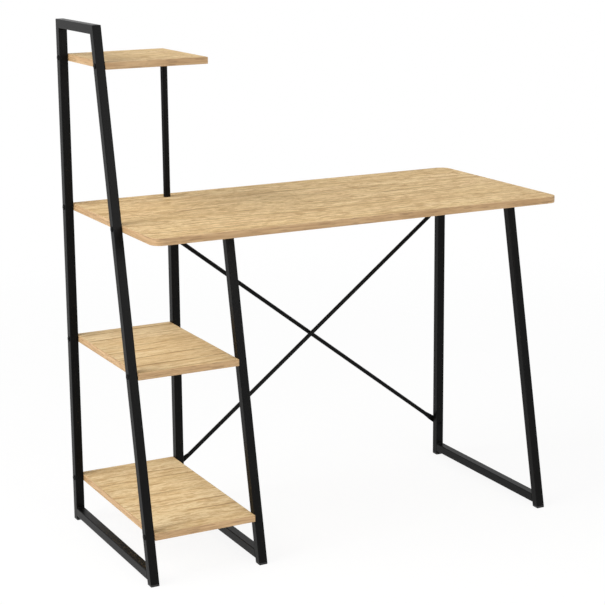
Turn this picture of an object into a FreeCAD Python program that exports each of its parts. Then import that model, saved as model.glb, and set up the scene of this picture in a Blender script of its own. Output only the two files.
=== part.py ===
# Ladder desk: three welded frames of square tube, a desktop, three shelves on
# the left, a round post under the top shelf and a crossed rod brace behind.
# Millimetres. +X is to the right, +Y to the back and +Z up. The origin is on
# the floor, under the middle of the desk's box.

import FreeCAD
import Part
import math
import os

Vector = FreeCAD.Vector

# Overall sizes
desk_width = 1020.0            # left frame's outer face to the desktop's right end
desk_height = 1170.0           # floor to the top of the left frame
desktop_depth = 488.0          # front edge to back edge
desktop_height = 754.0         # floor to the desktop's top face

# Square tube of the frames
tube_size = 20.0
tube_wall = 1.2
tube_corner_radius = 2.0

# Frames, with depths measured forward from the rear faces of the rear legs
frame_foot_depth = 471.0       # front face of a front leg, at the floor
frame_top_depth = 230.0        # the same at the top of the left frame; all front legs lean alike
rail_clearance = 10.0          # floor to the underside of a bottom rail
middle_frame_offset = 256.0    # left frame's outer face to the middle frame's left face
right_overhang = 9.0           # desktop's right end past the right frame

# Foot caps, pressed into the open lower ends of the legs
foot_height = 5.0
foot_plug_length = 15.0
foot_plug_clearance = 0.1

# Boards
board_thickness = 15.0
edge_band_thickness = 1.0
edge_ease_radius = 0.6         # softened outer edges of the banding
desktop_corner_radius = 25.0
shelf_overhang = 4.0           # shelf's front edge past the front legs
top_shelf_drop = 78.0          # top of the left frame down to the top shelf's top face
middle_shelf_height = 446.0    # floor to the shelf's top face
bottom_shelf_height = 110.5

# Bolts, all of one thread size
bolt_diameter = 6.0
bolt_head_diameter = 12.0
bolt_head_height = 1.5
bolt_head_chamfer = 0.5
bolt_tip_chamfer = 0.6
socket_flats = 4.0
socket_depth = 2.0
bolt_hole_clearance = 0.2      # on the radius, in tube walls and boards
thread_clearance = 0.05        # on the radius, in nuts and plugs

# Barrel nuts in the ends of the boards
barrel_nut_diameter = 10.0
barrel_nut_cover = 1.5         # board above and below the nut
barrel_nut_inset = 30.0        # board's end to the nut's axis
barrel_slot_width = 1.5
barrel_slot_depth = 1.2
bolt_past_nut = 2.0
pocket_clearance = 0.1         # round a nut in its pocket

# Insert nuts in the undersides of the desktop and the top shelf
insert_nut_diameter = 9.0
insert_nut_length = 10.0
insert_engagement = 9.0        # thread held by an insert nut
rail_bolt_inset = 70.0         # top rail's end to its bolt

# Round post between the desktop and the top shelf
post_diameter = 16.0
post_wall = 1.2
post_end_inset = 15.0          # top shelf's right end to the post's axis
post_rear_inset = 39.0         # back edge to the post's axis
post_plug_length = 9.0
post_plug_clearance = 0.1

# Crossed brace, bolted behind the middle and right rear legs
rod_diameter = 10.0
rod_gap = 0.2                  # between the rods where they cross
brace_drop = 85.0              # desktop's underside down to the upper bolts
brace_low = 86.0               # floor to the lower bolts
paddle_width = 14.0
paddle_thickness = 3.0
paddle_length = 20.0           # bolt to the start of the neck
neck_length = 18.0             # flat paddle to round rod
brace_nut_flats = 10.0
brace_nut_height = 5.0
brace_nut_chamfer = 0.6        # corners turned down at both ends
brace_bolt_past_nut = 2.0

# Every cut runs past its faces by this much
overrun = 5.0

# Two directions count as one within this share of a length
parallel_share = 1e-6

# Places that follow from the sizes
rod_offset = (rod_diameter + rod_gap) / 2
brace_bolt_reach = paddle_thickness + brace_nut_height + brace_bolt_past_nut
rod_reach = paddle_thickness / 2 + rod_offset + rod_diameter / 2
rear_y = (desktop_depth - max(brace_bolt_reach, rod_reach)) / 2
left_x = (bolt_head_height - desk_width) / 2
middle_x = left_x + middle_frame_offset
right_x = left_x + desk_width - right_overhang - tube_size
board_x = left_x + tube_size
shelf_length = middle_x - board_x
desktop_underside = desktop_height - board_thickness
top_shelf_height = desk_height - top_shelf_drop
top_shelf_underside = top_shelf_height - board_thickness
post_x = middle_x - post_end_inset
barrel_nut_length = board_thickness - barrel_nut_cover * 2
brace_high = desktop_underside - brace_drop
front_lean = (frame_foot_depth - frame_top_depth) / desk_height
bolt_radius = bolt_diameter / 2
hole_radius = bolt_radius + bolt_hole_clearance
thread_radius = bolt_radius + thread_clearance
along_x = Vector(1, 0, 0)
along_y = Vector(0, 1, 0)
along_z = Vector(0, 0, 1)


# Basic shapes

def at(depth, height, x=0):
    """Point at a depth forward of the rear plane and a height above the floor."""
    return Vector(x, rear_y - depth, height)


def flat_face(points):
    """Face inside a closed outline."""
    return Part.Face(Part.makePolygon(points + points[:1]))


def side_prism(points, x, width):
    """Solid with the given side view, from x to x + width."""
    return flat_face([point + along_x * x for point in points]).extrude(along_x * width)


def edges_along(shape, direction):
    """Straight edges of a shape that run along a direction."""
    found = []
    for edge in shape.Edges:
        run = edge.Vertexes[-1].Point - edge.Vertexes[0].Point
        if run.cross(direction).Length < run.Length * direction.Length * parallel_share:
            found.append(edge)
    return found


def hexagon(flats, start, length):
    """Hexagonal prism on the Z axis."""
    radius = flats / math.sqrt(3)
    turns = [math.radians(60 * side) for side in range(6)]
    corners = [Vector(radius * math.cos(t), radius * math.sin(t), start) for t in turns]
    return flat_face(corners).extrude(along_z * length)


def level_bore(radius, depth, height, start, end):
    """Cylinder along X, for a hole through a leg or into a board's end."""
    return Part.makeCylinder(radius, abs(end - start), at(depth, height, min(start, end)), along_x)


def upright(radius, depth, x, low, high):
    """Cylinder along Z."""
    return Part.makeCylinder(radius, high - low, at(depth, low, x))


# Frames

class Leg:
    """A leg in side view. Its front face leans back by the lean for each unit of height."""

    def __init__(self, foot_depth, lean):
        self.foot_depth = foot_depth
        self.lean = lean
        self.stretch = math.hypot(1, lean)

    def front(self, z, inset=0):
        """Depth of the front face at a height, drawn in by an inset."""
        return self.foot_depth - self.lean * z - inset * self.stretch

    def back(self, z, inset=0):
        """Depth of the rear face at a height, drawn in by an inset."""
        return self.front(z) - (tube_size - inset) * self.stretch

    def middle(self, z):
        """Depth of the centre line at a height."""
        return (self.front(z) + self.back(z)) / 2

    def side(self, low, high, inset=0):
        """Side view between two level cuts."""
        return [
            at(self.front(low, inset), low),
            at(self.front(high, inset), high),
            at(self.back(high, inset), high),
            at(self.back(low, inset), low),
        ]


class Frame:
    """One side frame: an upright rear leg, a leaning front leg and two cross tubes."""

    def __init__(self, x, height):
        self.x = x
        self.height = height
        self.rear = Leg(tube_size, 0)
        self.front = Leg(frame_foot_depth, front_lean)
        self.legs = [self.rear, self.front]


left = Frame(left_x, desk_height)
middle = Frame(middle_x, desktop_underside)
right = Frame(right_x, desktop_underside)


def tube_hollow(a_start, a_end, b_end, b_start):
    """Side view of a tube's inside, run past both ends of the tube."""
    run = (a_end - a_start).normalize()
    across = b_start - a_start
    across = (across - run * across.dot(run)).normalize()
    past = run * tube_size
    return [
        a_start + across * tube_wall - past,
        a_end + across * tube_wall + past,
        b_end - across * tube_wall + past,
        b_start - across * tube_wall - past,
    ]


def square_tube(corners, x):
    """Hollow tube from its four corners in side view: one long side, then back along the other."""
    outer = side_prism(corners, x, tube_size)
    outer = outer.makeFillet(tube_corner_radius, edges_along(outer, corners[1] - corners[0]))
    return outer.cut(side_prism(tube_hollow(*corners), x + tube_wall, tube_size - tube_wall * 2))


def frame_tubes(frame, holes):
    """Rear leg, front leg, top tube and bottom rail. The upper corners are mitred."""
    rear = frame.rear
    front = frame.front
    top = frame.height
    under = top - tube_size
    rail_low = rail_clearance
    rail_high = rail_clearance + tube_size
    foot = foot_height
    rear_corners = [at(rear.back(top), top), at(rear.front(under), under)]
    front_corners = [at(front.front(top), top), at(front.back(under), under)]
    sides = [
        [at(rear.back(foot), foot)] + rear_corners + [at(rear.front(foot), foot)],
        [at(front.front(foot), foot)] + front_corners + [at(front.back(foot), foot)],
        [rear_corners[0]] + front_corners + [rear_corners[1]],
        [
            at(rear.front(rail_high), rail_high),
            at(front.back(rail_high), rail_high),
            at(front.back(rail_low), rail_low),
            at(rear.front(rail_low), rail_low),
        ],
    ]
    return [square_tube(side, frame.x).cut(holes) for side in sides]


def foot_cap(frame, leg):
    """Plastic cap under a leg: a pad with rounded edges, and a plug up inside the tube."""
    pad = side_prism(leg.side(0, foot_height), frame.x, tube_size)
    floor_edges = [edge for edge in pad.Edges if edge.BoundBox.ZMax < foot_height / 2]
    leg_edges = edges_along(pad, Vector(0, leg.lean, 1))
    pad = pad.makeFillet(tube_corner_radius, floor_edges + leg_edges)
    inset = tube_wall + foot_plug_clearance
    plug_side = leg.side(foot_height / 2, foot_height + foot_plug_length, inset)
    plug = side_prism(plug_side, frame.x + inset, tube_size - inset * 2)
    return pad.fuse(plug).removeSplitter()


# Fasteners

def socket_bolt(seat, direction, length):
    """Low-headed bolt with a hex socket. Its head bears on the seat."""
    head = bolt_head_diameter / 2
    profile = [
        Vector(0, 0, -bolt_head_height),
        Vector(head - bolt_head_chamfer, 0, -bolt_head_height),
        Vector(head, 0, bolt_head_chamfer - bolt_head_height),
        Vector(head, 0, 0),
        Vector(bolt_radius, 0, 0),
        Vector(bolt_radius, 0, length - bolt_tip_chamfer),
        Vector(bolt_radius - bolt_tip_chamfer, 0, length),
        Vector(0, 0, length),
    ]
    bolt = flat_face(profile).revolve(Vector(0, 0, 0), along_z, 360)
    bolt = bolt.cut(hexagon(socket_flats, -bolt_head_height - overrun, socket_depth + overrun))
    bolt.Placement = FreeCAD.Placement(seat, FreeCAD.Rotation(along_z, direction))
    return bolt


def barrel_nut(depth, height, x):
    """Upright steel cylinder, cross-drilled for the bolt and slotted at its lower end."""
    low = height - barrel_nut_length / 2
    reach = barrel_nut_diameter + overrun
    nut = upright(barrel_nut_diameter / 2, depth, x, low, low + barrel_nut_length)
    slot_corner = at(depth + reach / 2, low - overrun, x - barrel_slot_width / 2)
    slot = Part.makeBox(barrel_slot_width, reach, barrel_slot_depth + overrun, slot_corner)
    return nut.cut([slot, level_bore(thread_radius, depth, height, x - reach, x + reach)])


def insert_nut(depth, x, underside):
    """Threaded sleeve set flush in a board's underside."""
    top = underside + insert_nut_length
    sleeve = upright(insert_nut_diameter / 2, depth, x, underside, top)
    return sleeve.cut(upright(thread_radius, depth, x, underside - overrun, top + overrun))


def insert_pocket(depth, x, underside):
    """Blind hole for an insert nut."""
    radius = insert_nut_diameter / 2 + pocket_clearance
    return upright(radius, depth, x, underside - overrun, underside + insert_nut_length + pocket_clearance)


class EndJoint:
    """A bolt through a leg into a board's end, and the barrel nut that it pulls on."""

    def __init__(self, frame, depth, height, side):
        self.depth = depth
        self.height = height
        self.side = side
        self.seat_x = frame.x if side > 0 else frame.x + tube_size
        self.board_end = self.seat_x + side * tube_size
        self.nut_x = self.board_end + side * barrel_nut_inset
        self.length = tube_size + barrel_nut_inset + barrel_nut_diameter / 2 + bolt_past_nut

    def bolt(self):
        seat = at(self.depth, self.height, self.seat_x)
        return socket_bolt(seat, along_x * self.side, self.length)

    def nut(self):
        return barrel_nut(self.depth, self.height, self.nut_x)

    def leg_hole(self):
        start = self.seat_x - self.side * overrun
        end = self.board_end + self.side * overrun
        return level_bore(hole_radius, self.depth, self.height, start, end)

    def board_holes(self):
        end = self.seat_x + self.side * (self.length + bolt_hole_clearance)
        bore = level_bore(hole_radius, self.depth, self.height, self.seat_x, end)
        radius = barrel_nut_diameter / 2 + pocket_clearance
        low = self.height - board_thickness / 2 - overrun
        high = self.height + barrel_nut_length / 2 + pocket_clearance
        return [bore, upright(radius, self.depth, self.nut_x, low, high)]


def end_joints(frame, top, side):
    """The bolts in a frame's two legs that hold one end of a board."""
    height = top - board_thickness / 2
    return [EndJoint(frame, leg.middle(height), height, side) for leg in frame.legs]


def all_of(lists):
    """One list from several."""
    return [item for items in lists for item in items]


# Boards

def slab(length, depth, top, inset, corner_radius):
    """Board blank against the left frame, drawn in by an inset, its free corners rounded."""
    corner = at(depth - inset, top - board_thickness, board_x + inset)
    box = Part.makeBox(length - inset * 2, depth - inset * 2, board_thickness, corner)
    if not corner_radius:
        return box
    square_corner = Part.Vertex(at(inset, top, board_x + inset))
    posts = edges_along(box, along_z)
    free = [edge for edge in posts if edge.distToShape(square_corner)[0] > corner_radius]
    return box.makeFillet(corner_radius - inset, free)


def banded_board(length, depth, top, holes, corner_radius=0):
    """A board's core, and the band that is glued round its edges."""
    core = slab(length, depth, top, edge_band_thickness, corner_radius)
    blank = slab(length, depth, top, 0, corner_radius)
    level_edges = [edge for edge in blank.Edges if edge.BoundBox.ZLength < board_thickness / 2]
    band = blank.makeFillet(edge_ease_radius, level_edges).cut(core)
    return core.cut(holes), band.cut(holes)


def shelf(top, holes):
    """A shelf whose front edge stands a little ahead of the front legs."""
    return banded_board(shelf_length, left.front.front(top) + shelf_overhang, top, holes)


# Round post

def post_tube():
    """Round tube from the desktop up to the top shelf."""
    radius = post_diameter / 2
    outer = upright(radius, post_rear_inset, post_x, desktop_height, top_shelf_underside)
    low = desktop_height - overrun
    return outer.cut(upright(radius - post_wall, post_rear_inset, post_x, low, top_shelf_underside + overrun))


def post_plug(low):
    """Threaded plug inside one end of the post."""
    radius = post_diameter / 2 - post_wall - post_plug_clearance
    high = low + post_plug_length
    plug = upright(radius, post_rear_inset, post_x, low, high)
    return plug.cut(upright(thread_radius, post_rear_inset, post_x, low - overrun, high + overrun))


# Crossed brace

def rod_section(x, offset):
    """Round outline of the rod, in four arcs, set off behind or ahead of its paddles."""
    radius = rod_diameter / 2
    turns = [math.radians(225 + 45 * eighth) for eighth in range(9)]
    points = [Vector(x, offset + radius * math.cos(t), radius * math.sin(t)) for t in turns]
    return Part.Wire([Part.Arc(*points[first:first + 3]).toShape() for first in range(0, 8, 2)])


def rod_end(offset):
    """Flattened end with its bolt hole at the origin, and the joggled neck that runs on along +X."""
    half = paddle_width / 2
    thin = paddle_thickness / 2
    plate = Part.makeBox(paddle_length, paddle_thickness, paddle_width, Vector(0, -thin, -half))
    tip = Part.makeCylinder(half, paddle_thickness, Vector(0, -thin, 0), along_y)
    hole = Part.makeCylinder(hole_radius, paddle_width, Vector(0, -half, 0), along_y)
    corners = [(-thin, -half), (thin, -half), (thin, half), (-thin, half)]
    flat = Part.makePolygon([Vector(paddle_length, y, z) for y, z in corners + corners[:1]])
    neck = Part.makeLoft([flat, rod_section(paddle_length + neck_length, offset)], True, True)
    return plate.fuse([tip, neck]).cut(hole)


def brace_rod(start_height, end_height, offset):
    """One rod of the brace, from the middle rear leg to the right one."""
    reach = right_x - middle_x
    climb = end_height - start_height
    length = math.hypot(reach, climb)
    start = paddle_length + neck_length
    far_end = rod_end(offset)
    far_end.rotate(Vector(0, 0, 0), along_y, 180)
    far_end.translate(along_x * length)
    rod = Part.Face(rod_section(start, offset)).extrude(along_x * (length - start * 2))
    rod = rod.fuse([rod_end(offset), far_end]).removeSplitter()
    turn = FreeCAD.Rotation(along_y, -math.degrees(math.atan2(climb, reach)))
    seat = at(-paddle_thickness / 2, start_height, middle_x + tube_size / 2)
    rod.Placement = FreeCAD.Placement(seat, turn)
    return rod


def brace_nut(x, height):
    """Hexagon nut behind a paddle."""
    turned = Part.makeCylinder(brace_nut_flats / math.sqrt(3), brace_nut_height)
    end_edges = [edge for edge in turned.Edges if edge.BoundBox.ZLength < brace_nut_height / 2]
    turned = turned.makeChamfer(brace_nut_chamfer, end_edges)
    bore_length = brace_nut_height + overrun * 2
    bore = Part.makeCylinder(thread_radius, bore_length, Vector(0, 0, -overrun))
    nut = hexagon(brace_nut_flats, 0, brace_nut_height).common(turned).cut(bore)
    seat = at(-paddle_thickness, height, x)
    nut.Placement = FreeCAD.Placement(seat, FreeCAD.Rotation(along_z, along_y))
    return nut


# Where the pieces are bolted together

board_tops = [desktop_height, top_shelf_height, middle_shelf_height, bottom_shelf_height]
left_joints = {top: end_joints(left, top, 1) for top in board_tops}
middle_joints = {top: end_joints(middle, top, -1) for top in board_tops[2:]}
left_bolts = all_of(left_joints.values())
middle_bolts = all_of(middle_joints.values())

rail_depths = [rail_bolt_inset, middle.front.front(desktop_underside) - rail_bolt_inset]
rail_places = [(frame.x + tube_size / 2, depth) for frame in (middle, right) for depth in rail_depths]
rail_underside = desktop_underside - tube_size

brace_heights = [brace_low, brace_high]
brace_places = [(frame.x + tube_size / 2, z) for frame in (middle, right) for z in brace_heights]
brace_bolt_length = tube_size + brace_bolt_reach


def rail_hole(x, depth):
    """Hole up through a top rail."""
    return upright(hole_radius, depth, x, rail_underside - overrun, desktop_underside + overrun)


def brace_hole(x, height):
    """Hole through a rear leg, from front to back."""
    start = at(tube_size + overrun, height, x)
    return Part.makeCylinder(hole_radius, tube_size + overrun * 2, start, along_y)


def board_cuts(top):
    """Holes in a board's ends, for the bolts and barrel nuts that hold it."""
    joints = left_joints[top] + middle_joints.get(top, [])
    return all_of(joint.board_holes() for joint in joints)


# The pieces

parts = {}

low_frame_holes = [rail_hole(*place) for place in rail_places]
low_frame_holes += [brace_hole(*place) for place in brace_places]
frame_holes = {
    "left": [joint.leg_hole() for joint in left_bolts],
    "middle": [joint.leg_hole() for joint in middle_bolts] + low_frame_holes,
    "right": low_frame_holes,
}
frames = {"left": left, "middle": middle, "right": right}
tube_names = {
    "left": ["rear_upright", "front_upright", "top_bar", "bottom_rail"],
    "middle": ["rear_leg", "front_leg", "top_rail", "bottom_rail"],
    "right": ["rear_leg", "front_leg", "top_rail", "bottom_rail"],
}
for side, frame in frames.items():
    tubes = frame_tubes(frame, frame_holes[side])
    for tube_name, tube in zip(tube_names[side], tubes):
        parts[side + "_" + tube_name] = tube
    parts[side + "_rear_foot"] = foot_cap(frame, frame.rear)
    parts[side + "_front_foot"] = foot_cap(frame, frame.front)

desktop_cuts = board_cuts(desktop_height)
desktop_cuts += [insert_pocket(depth, x, desktop_underside) for x, depth in rail_places]
desktop_cuts.append(
    upright(hole_radius, post_rear_inset, post_x, desktop_underside - overrun, desktop_height + overrun)
)
top_shelf_cuts = board_cuts(top_shelf_height)
top_shelf_cuts.append(insert_pocket(post_rear_inset, post_x, top_shelf_underside))
boards = {
    "desktop": banded_board(
        desk_width - tube_size, desktop_depth, desktop_height, desktop_cuts, desktop_corner_radius
    ),
    "top_shelf": shelf(top_shelf_height, top_shelf_cuts),
    "middle_shelf": shelf(middle_shelf_height, board_cuts(middle_shelf_height)),
    "bottom_shelf": shelf(bottom_shelf_height, board_cuts(bottom_shelf_height)),
}
for name, (core, band) in boards.items():
    parts[name] = core
    parts[name + "_edge_band"] = band

parts["shelf_post"] = post_tube()
parts["post_end_plugs"] = Part.makeCompound(
    [post_plug(desktop_height), post_plug(top_shelf_underside - post_plug_length)]
)
parts["brace_rod_rear"] = brace_rod(brace_high, brace_low, rod_offset)
parts["brace_rod_front"] = brace_rod(brace_low, brace_high, -rod_offset)

parts["left_frame_bolts"] = Part.makeCompound([joint.bolt() for joint in left_bolts])
parts["middle_frame_bolts"] = Part.makeCompound([joint.bolt() for joint in middle_bolts])
parts["barrel_nuts"] = Part.makeCompound([joint.nut() for joint in left_bolts + middle_bolts])
parts["rail_bolts"] = Part.makeCompound([
    socket_bolt(at(depth, rail_underside, x), along_z, tube_size + insert_engagement)
    for x, depth in rail_places
])
parts["desktop_insert_nuts"] = Part.makeCompound(
    [insert_nut(depth, x, desktop_underside) for x, depth in rail_places]
)
parts["post_bolt"] = socket_bolt(
    at(post_rear_inset, desktop_underside, post_x), along_z, board_thickness + post_plug_length
)
parts["post_stud"] = upright(
    bolt_radius, post_rear_inset, post_x,
    top_shelf_underside - post_plug_length, top_shelf_underside + insert_engagement,
)
parts["shelf_insert_nut"] = insert_nut(post_rear_inset, post_x, top_shelf_underside)
parts["brace_bolts"] = Part.makeCompound(
    [socket_bolt(at(tube_size, z, x), along_y, brace_bolt_length) for x, z in brace_places]
)
parts["brace_nuts"] = Part.makeCompound([brace_nut(x, z) for x, z in brace_places])

os.makedirs("parts", exist_ok=True)
for name, shape in parts.items():
    shape.exportStep("parts/" + name + ".step")
    state = "valid" if shape.isValid() else "not valid"
    print(name, len(shape.Solids), "solids", round(shape.Volume), "mm3", state)
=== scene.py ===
# %% [markdown]
# # A ladder desk in black steel and oak-look board
# The desk is three welded frames of square tube, a desktop, three shelves and a crossed brace.
# Its tubes, boards, bolts and nuts come from the packed frame at their real size and place, so
# nothing here moves or resizes them. This lesson sets up a plain studio, gives every piece its
# finish and adds the weld beads of the frames. All lengths are metres. +X is to the right, +Y to
# the back, and the desk stands on the floor at Z = 0.

# %% Load the packed desk
import bpy
import math
from mathutils import Euler, Matrix, Vector


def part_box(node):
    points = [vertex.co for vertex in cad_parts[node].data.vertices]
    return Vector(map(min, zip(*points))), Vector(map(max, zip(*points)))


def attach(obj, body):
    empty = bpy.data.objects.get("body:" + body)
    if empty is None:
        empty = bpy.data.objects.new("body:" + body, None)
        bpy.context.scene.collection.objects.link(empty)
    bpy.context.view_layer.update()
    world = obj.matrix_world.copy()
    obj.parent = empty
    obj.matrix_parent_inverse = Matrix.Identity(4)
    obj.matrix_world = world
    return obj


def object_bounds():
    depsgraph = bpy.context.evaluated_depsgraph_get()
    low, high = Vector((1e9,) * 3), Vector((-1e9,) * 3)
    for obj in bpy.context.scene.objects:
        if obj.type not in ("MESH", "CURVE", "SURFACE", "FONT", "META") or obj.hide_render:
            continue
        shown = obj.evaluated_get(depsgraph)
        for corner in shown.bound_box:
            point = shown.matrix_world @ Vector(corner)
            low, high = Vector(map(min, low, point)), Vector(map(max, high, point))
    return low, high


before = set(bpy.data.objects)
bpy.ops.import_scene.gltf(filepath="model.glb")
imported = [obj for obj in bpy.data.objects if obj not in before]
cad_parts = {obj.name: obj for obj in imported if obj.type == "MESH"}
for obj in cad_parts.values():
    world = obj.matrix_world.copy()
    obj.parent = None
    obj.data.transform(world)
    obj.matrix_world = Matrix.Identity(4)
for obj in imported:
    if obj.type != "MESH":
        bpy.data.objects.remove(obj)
cad_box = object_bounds()
desk_middle = (cad_box[0] + cad_box[1]) / 2
print("nodes:", len(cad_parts), "box:", [tuple(corner) for corner in cad_box])

# %% [markdown]
# ## The camera
# The photograph is taken from the front left with a long lens, from a little above the top shelf.
# A camera could be placed by eye, but the desk has many straight edges, so its place, heading and
# lens were worked out from where those edges lie in the photograph. A small lens shift takes over
# part of the downward tilt, so the uprights converge less in the picture.

# %% Place the camera
camera_place = Vector((-1.7791, -3.3823, 1.44))
camera_heading = math.radians(26.85)  # to the right of straight ahead
camera_tilt = math.radians(12.01)     # below the horizon
camera_roll = math.radians(-0.62)     # about the line of sight
lens_length = 101.39                  # millimetres, for the usual sensor width
lens_shift = (0.03, -0.08)            # shares of the picture's width

camera_data = bpy.data.cameras.new("photo_camera")
camera_data.lens = lens_length
camera_data.shift_x, camera_data.shift_y = lens_shift
camera = bpy.data.objects.new("photo_camera", camera_data)
bpy.context.scene.collection.objects.link(camera)
level_turn = Euler((math.pi / 2 - camera_tilt, 0, -camera_heading)).to_matrix()
camera_turn = level_turn @ Matrix.Rotation(camera_roll, 3, "Z")
camera.matrix_world = Matrix.Translation(camera_place) @ camera_turn.to_4x4()
bpy.context.scene.camera = camera
print("camera to desk:", round((camera_place - desk_middle).length, 2), "m")

# %% [markdown]
# ## Shader sums in plain Python
# A finish is a network of nodes, and most of the network is arithmetic on masks. Wiring Math nodes
# one by one hides the idea, so a small class wraps a socket and lets Python's operators add the
# Math nodes. One method adds any other node: its settings are set first, then its sockets get
# values or links.

# %% A socket that can be added and multiplied
class Shade:
    """A value in a node tree. Operators on it add Math nodes to the tree."""

    def __init__(self, tree, socket=None):
        self.tree = tree
        self.socket = socket

    def node(self, kind, settings=None, inputs=None, output=0):
        """Adds a node and gives back one of its outputs."""
        made = self.tree.nodes.new("ShaderNode" + kind)
        for name, value in (settings or {}).items():
            setattr(made, name, value)
        for name, value in (inputs or {}).items():
            if isinstance(value, Shade):
                self.tree.links.new(value.socket, made.inputs[name])
            else:
                made.inputs[name].default_value = value
        return Shade(self.tree, made.outputs[output] if made.outputs else None)

    def math(self, operation, first, second):
        return self.node("Math", {"operation": operation}, {0: first, 1: second})

    def __add__(self, other):
        return self.math("ADD", self, other)

    def __sub__(self, other):
        return self.math("SUBTRACT", self, other)

    def __rsub__(self, other):
        return self.math("SUBTRACT", other, self)

    def __mul__(self, other):
        return self.math("MULTIPLY", self, other)

    __radd__ = __add__
    __rmul__ = __mul__


print("reflected operators:", [name for name in vars(Shade) if name.startswith("__r")])

# %% [markdown]
# ## White surroundings
# The photograph shows the desk on plain white. A backdrop could be flooded with light until it is
# white, but that would bleach the oak. Instead the world is white where the camera looks at it,
# also in a reflection, and only gently bright as a light.

# %% A white world that lights the desk gently
ambient_level = 0.3


def colour(red, green, blue):
    return (red, green, blue, 1.0)


def seen_directly(start):
    """1 for what the camera sees, straight, mirrored or through glass, and 0 for other light."""
    outputs = ["Is Camera Ray", "Is Glossy Ray", "Is Transmission Ray"]
    camera_ray, glossy_ray, glass_ray = [start.node("LightPath", output=name) for name in outputs]
    return start.node("Math", {"use_clamp": True}, {0: camera_ray + glossy_ray, 1: glass_ray})


white = colour(1, 1, 1)
world = bpy.data.worlds.new("studio")
world.use_nodes = True
world.node_tree.nodes.clear()
studio = Shade(world.node_tree)
ambient = studio.node("Background", inputs={"Color": white, "Strength": ambient_level})
backdrop = studio.node("Background", inputs={"Color": white, "Strength": 1.0})
sky = studio.node("MixShader", inputs={0: seen_directly(studio), 1: ambient, 2: backdrop})
studio.node("OutputWorld", inputs={"Surface": sky})
bpy.context.scene.world = world
bpy.context.scene.view_settings.view_transform = "Standard"
print("ambient level:", ambient_level)

# %% [markdown]
# ## The paper floor
# The desk stands on pale paper that keeps a faint shadow, because without one it would seem to
# float. A plain floor would end at an edge that the camera sees. This one turns clear further out,
# where the white world takes over, and also from underneath. Where the camera sees it, most of
# its shade is lifted to white, and what is left is the shadow.

# %% Paper that fades out
floor_size = 8.0
floor_fade_start = 1.4
floor_fade_end = 3.2
paper_colour = colour(0.97, 0.97, 0.965)
paper_white_share = 0.9  # how far the paper is lifted to white where the camera sees it


def new_material(name):
    """A material with an empty network, and the place of a point on the piece, to start from."""
    material = bpy.data.materials.new(name)
    material.use_nodes = True
    material.node_tree.nodes.clear()
    return material, Shade(material.node_tree).node("TexCoord", output="Object")


def ramp(value, low, high):
    """Smooth step from 0 at low to 1 at high."""
    settings = {"interpolation_type": "SMOOTHSTEP"}
    return value.node("MapRange", settings, {"Value": value, "From Min": low, "From Max": high})


bpy.ops.object.select_all(action="DESELECT")
bpy.ops.mesh.primitive_plane_add(size=floor_size)
floor = bpy.context.active_object
floor.name = "paper_floor"
paper, place = new_material("white paper")
radius = place.node("VectorMath", {"operation": "LENGTH"}, {0: place}, "Value")
underneath = place.node("NewGeometry", output="Backfacing")
gone = place.math("MAXIMUM", ramp(radius, floor_fade_start, floor_fade_end), underneath)
lit = place.node("BsdfDiffuse", inputs={"Color": paper_colour})
glow = place.node("Emission", inputs={"Color": white, "Strength": 1.0})
clear = place.node("BsdfTransparent", inputs={"Color": white})
lift = seen_directly(place) * paper_white_share
lifted = place.node("MixShader", inputs={0: lift, 1: lit, 2: glow})
faded = place.node("MixShader", inputs={0: gone, 1: lifted, 2: clear})
place.node("OutputMaterial", inputs={"Surface": faded})
floor.data.materials.append(paper)
print("floor:", floor_size, "m, fades out from", floor_fade_start, "m")

# %% [markdown]
# ## Soft lamps
# The photograph's light is soft and comes mostly from the left. A sun lamp would be simpler, but
# its shadows are hard and the black tubes would mirror it as a thin line. Large square lamps leave
# broad sheens on the paint. Most of them stand several metres off, so that near and far boards are
# lit alike, and one smaller lamp stands nearer, in front of the knee space.


# %% Lamps that face the desk
def softbox(name, place, size, level):
    """Square lamp that faces the desk. By itself, a level of 1 makes a white card there white."""
    lamp = bpy.data.lights.new(name, "AREA")
    lamp.size = size
    reach = desk_middle - Vector(place)
    lamp.energy = level * math.pi ** 2 * reach.length_squared
    holder = bpy.data.objects.new(name, lamp)
    holder.location = place
    holder.rotation_euler = reach.to_track_quat("-Z", "Y").to_euler()
    holder.visible_camera = False
    bpy.context.scene.collection.objects.link(holder)
    print(name, "level", level, "power", round(lamp.energy, 1), "W")


softbox("left_softbox", place=(-5.0, 0.2, 4.9), size=4.8, level=0.78)
softbox("left_fill", place=(-5.8, -0.4, 1.2), size=3.2, level=0.4)
softbox("front_softbox", place=(-1.2, -6.4, 3.8), size=4.4, level=0.24)
softbox("high_front_softbox", place=(2.6, -5.4, 4.6), size=4.0, level=0.12)
softbox("front_right_softbox", place=(0.5, -3.0, 1.4), size=1.0, level=0.15)
softbox("right_fill", place=(5.2, 2.8, 3.8), size=4.8, level=0.1)

# %% [markdown]
# ## Patterns from noise
# Paint, print and plating all vary a little from place to place, so no finish here is a flat
# colour. Images could show that too, but they repeat and need unwrapped pieces. Noise in Object
# coordinates needs neither, and because those are metres on the desk, a pattern has its real size
# on every piece. Three helpers make and use it, and a fourth ends a material.

# %% Helpers for the finishes
def noise(place, density, detail=2.0):
    """Cloudy value from 0 to 1. The density counts the clouds in a metre along X, Y and Z."""
    spread = place.node("Mapping", inputs={"Vector": place, "Scale": density})
    inputs = {"Vector": spread, "Scale": 1.0, "Detail": detail}
    return place.node("TexNoise", inputs=inputs, output="Fac")


def blend(share, first, second):
    """Colour that goes from the first to the second as the share goes from 0 to 1."""
    return share.node("Mix", {"data_type": "RGBA"}, {0: share, 6: first, 7: second}, 2)


def relief(height, depth):
    """Surface normal of a fine relief, whose height runs from 0 to 1 over the given depth."""
    return height.node("Bump", inputs={"Height": height, "Distance": depth, "Strength": 1.0})


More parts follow.
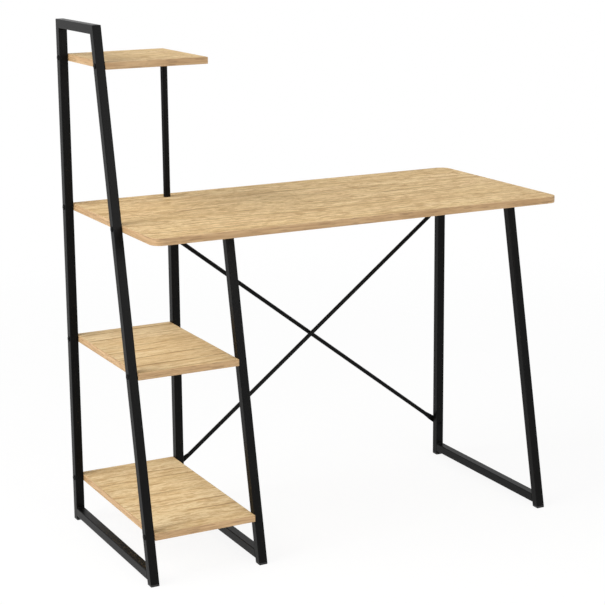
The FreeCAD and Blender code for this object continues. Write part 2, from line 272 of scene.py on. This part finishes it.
def close_material(material, inputs):
    """Ends a material's network in one Principled shader."""
    start = Shade(material.node_tree)
    shader = start.node("BsdfPrincipled", inputs=inputs)
    start.node("OutputMaterial", inputs={"Surface": shader})
    print(material.name, "has", len(material.node_tree.nodes), "nodes")


finishes = {}  # by the name that the packed frame gives the finish
wanted = {slot.material.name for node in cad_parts.values() for slot in node.material_slots}
print("finishes to make:", sorted(wanted))

# %% [markdown]
# ## Black powder coat
# The tubes, the post and the brace rods are steel under a satin black powder coat. Powder melts
# into a skin that is almost smooth, with an orange peel of about a millimetre and a slightly uneven
# gloss. A flat black would look like a hole in the picture, so the gloss varies and a very low
# relief breaks up the reflections.

# %% Powder coat
peel_depth = 0.000005
paint_black = colour(0.002, 0.002, 0.002)
paint_pale_black = colour(0.004, 0.004, 0.0038)


def powder_coat():
    material, place = new_material("satin black powder coat")
    peel = noise(place, (900, 900, 900), detail=1.0)
    flow = noise(place, (35, 35, 35), detail=3.0)
    close_material(material, {
        "Base Color": blend(flow, paint_black, paint_pale_black),
        "Roughness": 0.32 + 0.06 * flow + 0.03 * peel,
        "Normal": relief(peel, peel_depth),
        "Specular IOR Level": 0.075,
    })
    return material


finishes["frame_paint"] = powder_coat()

# %% [markdown]
# ## Oak-look board
# The boards are particle board faced with printed melamine. The print shows a light oak: soft bands
# along the board's length, growth rings that end in a thin dark line, short dashes, specks and fine
# pores. An image of oak would repeat from board to board. Here each layer is a noise that is
# stretched along X, so every board cuts its own piece out of the same tree.

# %% The run of the grain
grain_sway = 0.06     # the most that the grain wanders across the board, from side to side
rings_per_metre = 20
ring_wander = 3.5     # in rings


def oak_grain(place):
    """The place of a point, moved across the board so that the grain isn't dead straight."""
    sway = noise(place, (1.7, 2.4, 3.0)) - 0.5
    drift = place.node("CombineXYZ", inputs={"Y": sway * grain_sway})
    return place.node("VectorMath", {"operation": "ADD"}, {0: place, 1: drift})


def oak_rings(grain):
    """The late wood of each growth ring and the dark line that ends it, both broken up."""
    depth = grain.node("SeparateXYZ", inputs={0: grain}, output="Y")
    years = depth * rings_per_metre + noise(grain, (1.1, 5, 6)) * ring_wander
    ring = years.node("Math", {"operation": "FRACT"}, {0: years})
    broken = ramp(noise(grain, (4.0, 22, 20)), 0.41, 0.58)
    late_wood = ramp(ring, 0.50, 0.95) * broken
    lines = ramp(ring, 0.88, 0.94) * broken
    return late_wood, lines


print("ring width:", 1000 / rings_per_metre, "mm")

# %% [markdown]
# ## Four boards, one material
# The desktop and the top shelf are painted a little warmer. That is painted light: it evens them
# with the lower shelves, which take warm light bounced from the boards above. The middle shelf has
# the fewest marks. Each board could have a material of its own, but then one change would have to
# be made four times. The height over the floor already tells which board a point belongs to.

# %% Masks for the boards
bottom_shelf_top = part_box("bottom_shelf")[1].z
middle_shelf_low, middle_shelf_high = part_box("middle_shelf")
desktop_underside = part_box("desktop")[0].z
bottom_shelf_marks = 0.8  # the desktop and the top shelf have 1
middle_shelf_marks = 0.6


def board_tone(place):
    """1 on the two upper boards and else 0, and how strongly a board is marked."""
    height = place.node("SeparateXYZ", inputs={0: place}, output="Z")
    # The upper boards' mask carries their painted warmth as well as their stronger marks.
    upper = ramp(height, middle_shelf_high.z, desktop_underside)
    lowest = 1.0 - ramp(height, bottom_shelf_top, middle_shelf_low.z)
    upper_gain = (1.0 - middle_shelf_marks) * upper
    lowest_gain = (bottom_shelf_marks - middle_shelf_marks) * lowest
    return upper, middle_shelf_marks + upper_gain + lowest_gain


print("tops of the lower boards:", round(bottom_shelf_top, 4), round(middle_shelf_high.z, 4), "m")

# %% [markdown]
# ## The colours of the print
# A printing press lays one ink over another. All layers could be added up as greys and coloured at
# the end, but each kind of mark has a hue of its own. So the inks are blended one over another in
# a loop, each with the share in which it covers a point.

# %% Inks
pale_ground = colour(0.82, 0.67, 0.418)
# The warm grounds are painted light, not a second print: the upper boards get them, to match the
# warm bounced light on the lower shelves.
pale_ground_painted_warm = colour(0.89, 0.688, 0.393)
deep_ground = colour(0.745, 0.59, 0.344)
deep_ground_painted_warm = colour(0.81, 0.608, 0.323)
blush_ink = colour(0.82, 0.58, 0.34)
streak_ink = colour(0.58, 0.373, 0.163)
late_wood_ink = colour(0.54, 0.335, 0.143)
line_ink = colour(0.21, 0.112, 0.042)
cluster_ink = colour(0.40, 0.24, 0.097)
dash_ink = colour(0.42, 0.25, 0.102)
speck_ink = colour(0.47, 0.285, 0.12)
fibre_ink = colour(0.66, 0.465, 0.235)
pore_ink = colour(0.30, 0.18, 0.08)
oak_relief_depth = 0.00006
print("palest oak:", pale_ground_painted_warm[:3], "darkest:", line_ink[:3])


# %% Oak print
def oak_print():
    material, place = new_material("light oak melamine")
    upper, marked = board_tone(place)
    grain = oak_grain(place)
    late_wood, lines = oak_rings(grain)
    bands = ramp(noise(grain, (0.7, 17, 9), detail=3.0), 0.36, 0.64)
    blush = ramp(noise(place, (6, 30, 12)), 0.5, 0.72)
    streaks = ramp(noise(grain, (3.5, 42, 25), detail=4.0), 0.46, 0.60)
    strokes = ramp(noise(grain, (26, 700, 100)), 0.42, 0.58)
    clusters = ramp(noise(grain, (5, 80, 40), detail=3.0), 0.50, 0.60)
    dashes = ramp(noise(grain, (34, 150, 60), detail=3.0), 0.52, 0.60)
    specks = ramp(noise(grain, (70, 300, 80)), 0.50, 0.62)
    fibres = noise(grain, (12, 520, 60), detail=3.0)
    pores = ramp(noise(grain, (70, 1500, 100)), 0.56, 0.70)
    # Painted light: the upper boards take the warm grounds, which stand in for the warm light that
    # the lower shelves get bounced from the boards above.
    pale = blend(upper, pale_ground, pale_ground_painted_warm)
    deep = blend(upper, deep_ground, deep_ground_painted_warm)
    shade = blend(bands, pale, deep)
    for share, ink in [
        (blush * upper * 0.5, blush_ink),
        (streaks * 0.28, streak_ink),
        (late_wood * 0.30, late_wood_ink),
        (lines * (0.6 + 0.4 * strokes), line_ink),
        (clusters * strokes * marked * 0.75, cluster_ink),
        (dashes * (0.4 + 0.6 * strokes) * marked, dash_ink),
        (specks * marked * 0.5, speck_ink),
        (fibres * 0.25, fibre_ink),
        (pores * 0.35, pore_ink),
    ]:
        shade = blend(share, shade, ink)
    close_material(material, {
        "Base Color": shade,
        "Roughness": 0.52 + 0.1 * fibres + 0.08 * pores,
        "Normal": relief(fibres - pores, oak_relief_depth),
        "Specular IOR Level": 0.05,
    })
    return material


finishes["oak_board"] = oak_print()

# %% [markdown]
# ## Edge banding
# The cut edges are covered with a thin plastic band, whose print is warmer and plainer than the
# faces. Its grain runs along the edge on every side. The oak print could go on here too, but it is
# stretched along X and would run across the short edges. A noise that changes quickly only with
# height runs along the straight edges and round the desktop's corners alike.

# %% Edge band
band_pale = colour(0.545, 0.36, 0.187)
band_deep = colour(0.455, 0.284, 0.137)
band_streak = colour(0.34, 0.20, 0.088)
band_stroke = colour(0.21, 0.12, 0.05)
band_relief_depth = 0.00004


def edge_band():
    material, place = new_material("oak edge banding")
    streaks = noise(place, (9, 9, 260), detail=3.0)
    patches = noise(place, (8, 8, 60))
    strokes = ramp(noise(place, (24, 24, 900)), 0.42, 0.58)
    clusters = ramp(noise(place, (30, 30, 300)), 0.50, 0.62)
    ground = blend(ramp(patches, 0.3, 0.7), band_pale, band_deep)
    streaked = blend(ramp(streaks, 0.40, 0.64) * 0.55, ground, band_streak)
    close_material(material, {
        "Base Color": blend(clusters * strokes * 0.65, streaked, band_stroke),
        "Roughness": 0.48 + 0.12 * streaks,
        "Normal": relief(streaks, band_relief_depth),
        "Specular IOR Level": 0.45,
    })
    return material


finishes["oak_edge"] = edge_band()

# %% [markdown]
# ## Feet
# The feet are caps of moulded plastic with a dull, sparked texture and a few scuffs. They could
# share the tubes' paint, but plastic is greyer and spreads its highlight more. A very fine noise
# is the sparked texture, and a coarser one makes the scuffs paler and duller.

# %% Foot plastic
sparked_depth = 0.00005
foot_black = colour(0.012, 0.012, 0.012)
foot_scuff = colour(0.02, 0.02, 0.02)


def foot_plastic():
    material, place = new_material("moulded black plastic")
    sparked = noise(place, (1500, 1500, 1500))
    scuffs = noise(place, (120, 120, 120), detail=3.0)
    close_material(material, {
        "Base Color": blend(scuffs, foot_black, foot_scuff),
        "Roughness": 0.52 + 0.15 * scuffs,
        "Normal": relief(sparked, sparked_depth),
        "Specular IOR Level": 0.3,
    })
    return material


finishes["foot_plastic"] = foot_plastic()

# %% [markdown]
# ## Bolts and nuts
# The bolts are black oxide steel, an oiled skin that is duller than the paint. The nuts and plugs
# are zinc plated, pale and a little cloudy. One grey metal for all would be simpler, but the dark
# bolt heads are what shows on the tall frame. Each finish is one cloudy noise, which varies the
# gloss as well as the colour.

# %% Black oxide for the bolts
oxide_relief_depth = 0.00002
oxide_dark = colour(0.002, 0.002, 0.002)
oxide_pale = colour(0.006, 0.006, 0.006)


def black_oxide():
    material, place = new_material("black oxide steel")
    cloud = noise(place, (300, 300, 300), detail=3.0)
    close_material(material, {
        "Base Color": blend(cloud, oxide_dark, oxide_pale),
        "Roughness": 0.42 + 0.15 * cloud,
        "Normal": relief(cloud, oxide_relief_depth),
        "Specular IOR Level": 0.05,
    })
    return material


finishes["bolt_black"] = black_oxide()

# %% Zinc plate for the nuts and plugs
zinc_relief_depth = 0.00003
zinc_blue = colour(0.56, 0.57, 0.58)
zinc_yellow = colour(0.72, 0.71, 0.68)


def zinc_plate():
    material, place = new_material("zinc plate")
    cloud = noise(place, (400, 400, 400), detail=3.0)
    close_material(material, {
        "Base Color": blend(cloud, zinc_blue, zinc_yellow),
        "Metallic": 1.0,
        "Roughness": 0.26 + 0.2 * cloud,
        "Normal": relief(cloud, zinc_relief_depth),
    })
    return material


finishes["plated_steel"] = zinc_plate()

# %% [markdown]
# ## Every piece gets its finish
# The packed pieces arrive with a plain material named after the finish they need. Each could be
# given its material by name, piece by piece. Swapping it in the piece's own material slot is
# shorter, and leaves the mesh as it is.

# %% Hand out the finishes
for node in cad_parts.values():
    for slot in node.material_slots:
        slot.material = finishes[slot.material.name]
print("finishes handed out:", len(finishes))

# %% [markdown]
# ## Weld beads
# Each frame is four tubes that are welded together. The outside of a corner is ground flush and
# painted over, but in the inner corners a small rippled bead stays. It could be a bump in the
# paint, but a bump has no outline, so the bead is real metal here: a sector of a disc, extruded in
# steps along the corner and swollen at every other step. It is modelled once and copied into the
# six inner corners of every frame.

# %% The size of a bead along its length
bead_leg = 0.0032
bead_length = 0.0156
bead_steps = 14
bead_end_share = 0.5
bead_dip_share = 0.84


def bead_share(step):
    """Share of the full size: small at both ends, and full at every other step between them."""
    if step in (0, bead_steps):
        return bead_end_share
    return 1.0 if step % 2 else bead_dip_share


print("bead:", [bead_share(step) for step in range(bead_steps + 1)])

# %% The end of a bead: a sector of a disc, modelled at the origin across X
bead_sides = 20
bead_sink = math.radians(15)  # how far the sector reaches behind the two tube faces

bpy.ops.object.select_all(action="DESELECT")
bpy.ops.mesh.primitive_circle_add(
    vertices=bead_sides, radius=bead_leg * bead_share(0), fill_type="NGON",
    location=(-bead_length / 2, 0, 0), rotation=(0, math.pi / 2, 0),
)
bead = bpy.context.active_object
bead.name = "weld_bead"
bpy.ops.object.transform_apply(location=True, rotation=True, scale=True)
bpy.ops.object.mode_set(mode="EDIT")
off_the_rail = (0, math.sin(bead_sink), math.cos(bead_sink))
off_the_leg = (0, math.cos(bead_sink), math.sin(bead_sink))
for kept_side in [off_the_rail, off_the_leg]:
    bpy.ops.mesh.select_all(action="SELECT")
    bpy.ops.mesh.bisect(plane_co=(0, 0, 0), plane_no=kept_side, clear_inner=True)
print("sector:", round(90 + 2 * math.degrees(bead_sink)), "degrees")

# %% Extrude the sector along the corner
step_forward = {"value": (bead_length / bead_steps, 0, 0)}

bpy.ops.mesh.select_all(action="SELECT")
for step in range(1, bead_steps + 1):
    bpy.ops.mesh.extrude_region_move(TRANSFORM_OT_translate=step_forward)
    swell = bead_share(step) / bead_share(step - 1)
    bpy.ops.transform.resize(value=(1, swell, swell), center_override=(0, 0, 0))
bpy.ops.mesh.select_all(action="SELECT")
bpy.ops.mesh.normals_make_consistent(inside=False)
bpy.ops.object.mode_set(mode="OBJECT")
rounding = bead.modifiers.new("rounding", "SUBSURF")
rounding.levels = 1
rounding.render_levels = 1
bpy.ops.object.modifier_apply(modifier=rounding.name)
bpy.ops.object.shade_smooth()
bead.data.materials.append(finishes["frame_paint"])
bead_size = [round(side * 1000, 2) for side in bead.dimensions]
print("bead:", bead_size, "mm,", len(bead.data.polygons), "faces")

# %% [markdown]
# ## The corners of a frame
# A frame's tubes meet in six inner corners: four where the bottom rail meets the two legs, above
# and below it, and two under the top tube. Their places could be typed in, but the boxes of the
# tubes already hold them. Only the front leg leans, so the front corner above the rail is moved
# along its lean.


# %% Find the corners
def weld_corners(rear_node, front_node, top_node, rail_node):
    """The six corners: Y, Z and the quarter turns that face the bead into the corner."""
    rear_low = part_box(rear_node)[0]
    front_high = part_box(front_node)[1]
    top_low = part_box(top_node)[0]
    rail_low, rail_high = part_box(rail_node)
    lean = (front_high.y - rail_low.y) / (top_low.z - rail_low.z)
    rail_front = rail_low.y + lean * (rail_high.z - rail_low.z)
    return [
        (rail_front, rail_high.z, 0),
        (rail_high.y, rail_high.z, 1),
        (rail_high.y, rail_low.z, 2),
        (rail_low.y, rail_low.z, 3),
        (rear_low.y, top_low.z, 2),
        (front_high.y, top_low.z, 3),
    ]


frame_tubes = {
    "left": ["left_rear_upright", "left_front_upright", "left_top_bar", "left_bottom_rail"],
    "middle": ["middle_rear_leg", "middle_front_leg", "middle_top_rail", "middle_bottom_rail"],
    "right": ["right_rear_leg", "right_front_leg", "right_top_rail", "right_bottom_rail"],
}
for side, tubes in frame_tubes.items():
    print(side, "corners:", len(weld_corners(*tubes)))


# %% Lay the beads into the corners
def weld_frame(name, rear_node, front_node, top_node, rail_node):
    """Copies of the bead in every inner corner, joined into one piece."""
    rail_low, rail_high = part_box(rail_node)
    bpy.ops.object.select_all(action="DESELECT")
    for y, z, quarter_turns in weld_corners(rear_node, front_node, top_node, rail_node):
        copy = bead.copy()
        copy.data = bead.data.copy()
        copy.location = ((rail_low.x + rail_high.x) / 2, y, z)
        copy.rotation_euler.x = quarter_turns * math.pi / 2
        bpy.context.scene.collection.objects.link(copy)
        copy.select_set(True)
        bpy.context.view_layer.objects.active = copy
    bpy.ops.object.join()
    welds = bpy.context.active_object
    welds.name = name
    bpy.ops.object.transform_apply(location=True, rotation=True, scale=True)
    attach(welds, "root")
    print(name, len(welds.data.polygons), "faces")


for side, tubes in frame_tubes.items():
    weld_frame(side + "_frame_welds", *tubes)
bpy.data.objects.remove(bead)

# %% [markdown]
# ## The size of the finished desk
# Finishes and beads must not make the desk bigger than its packed model.
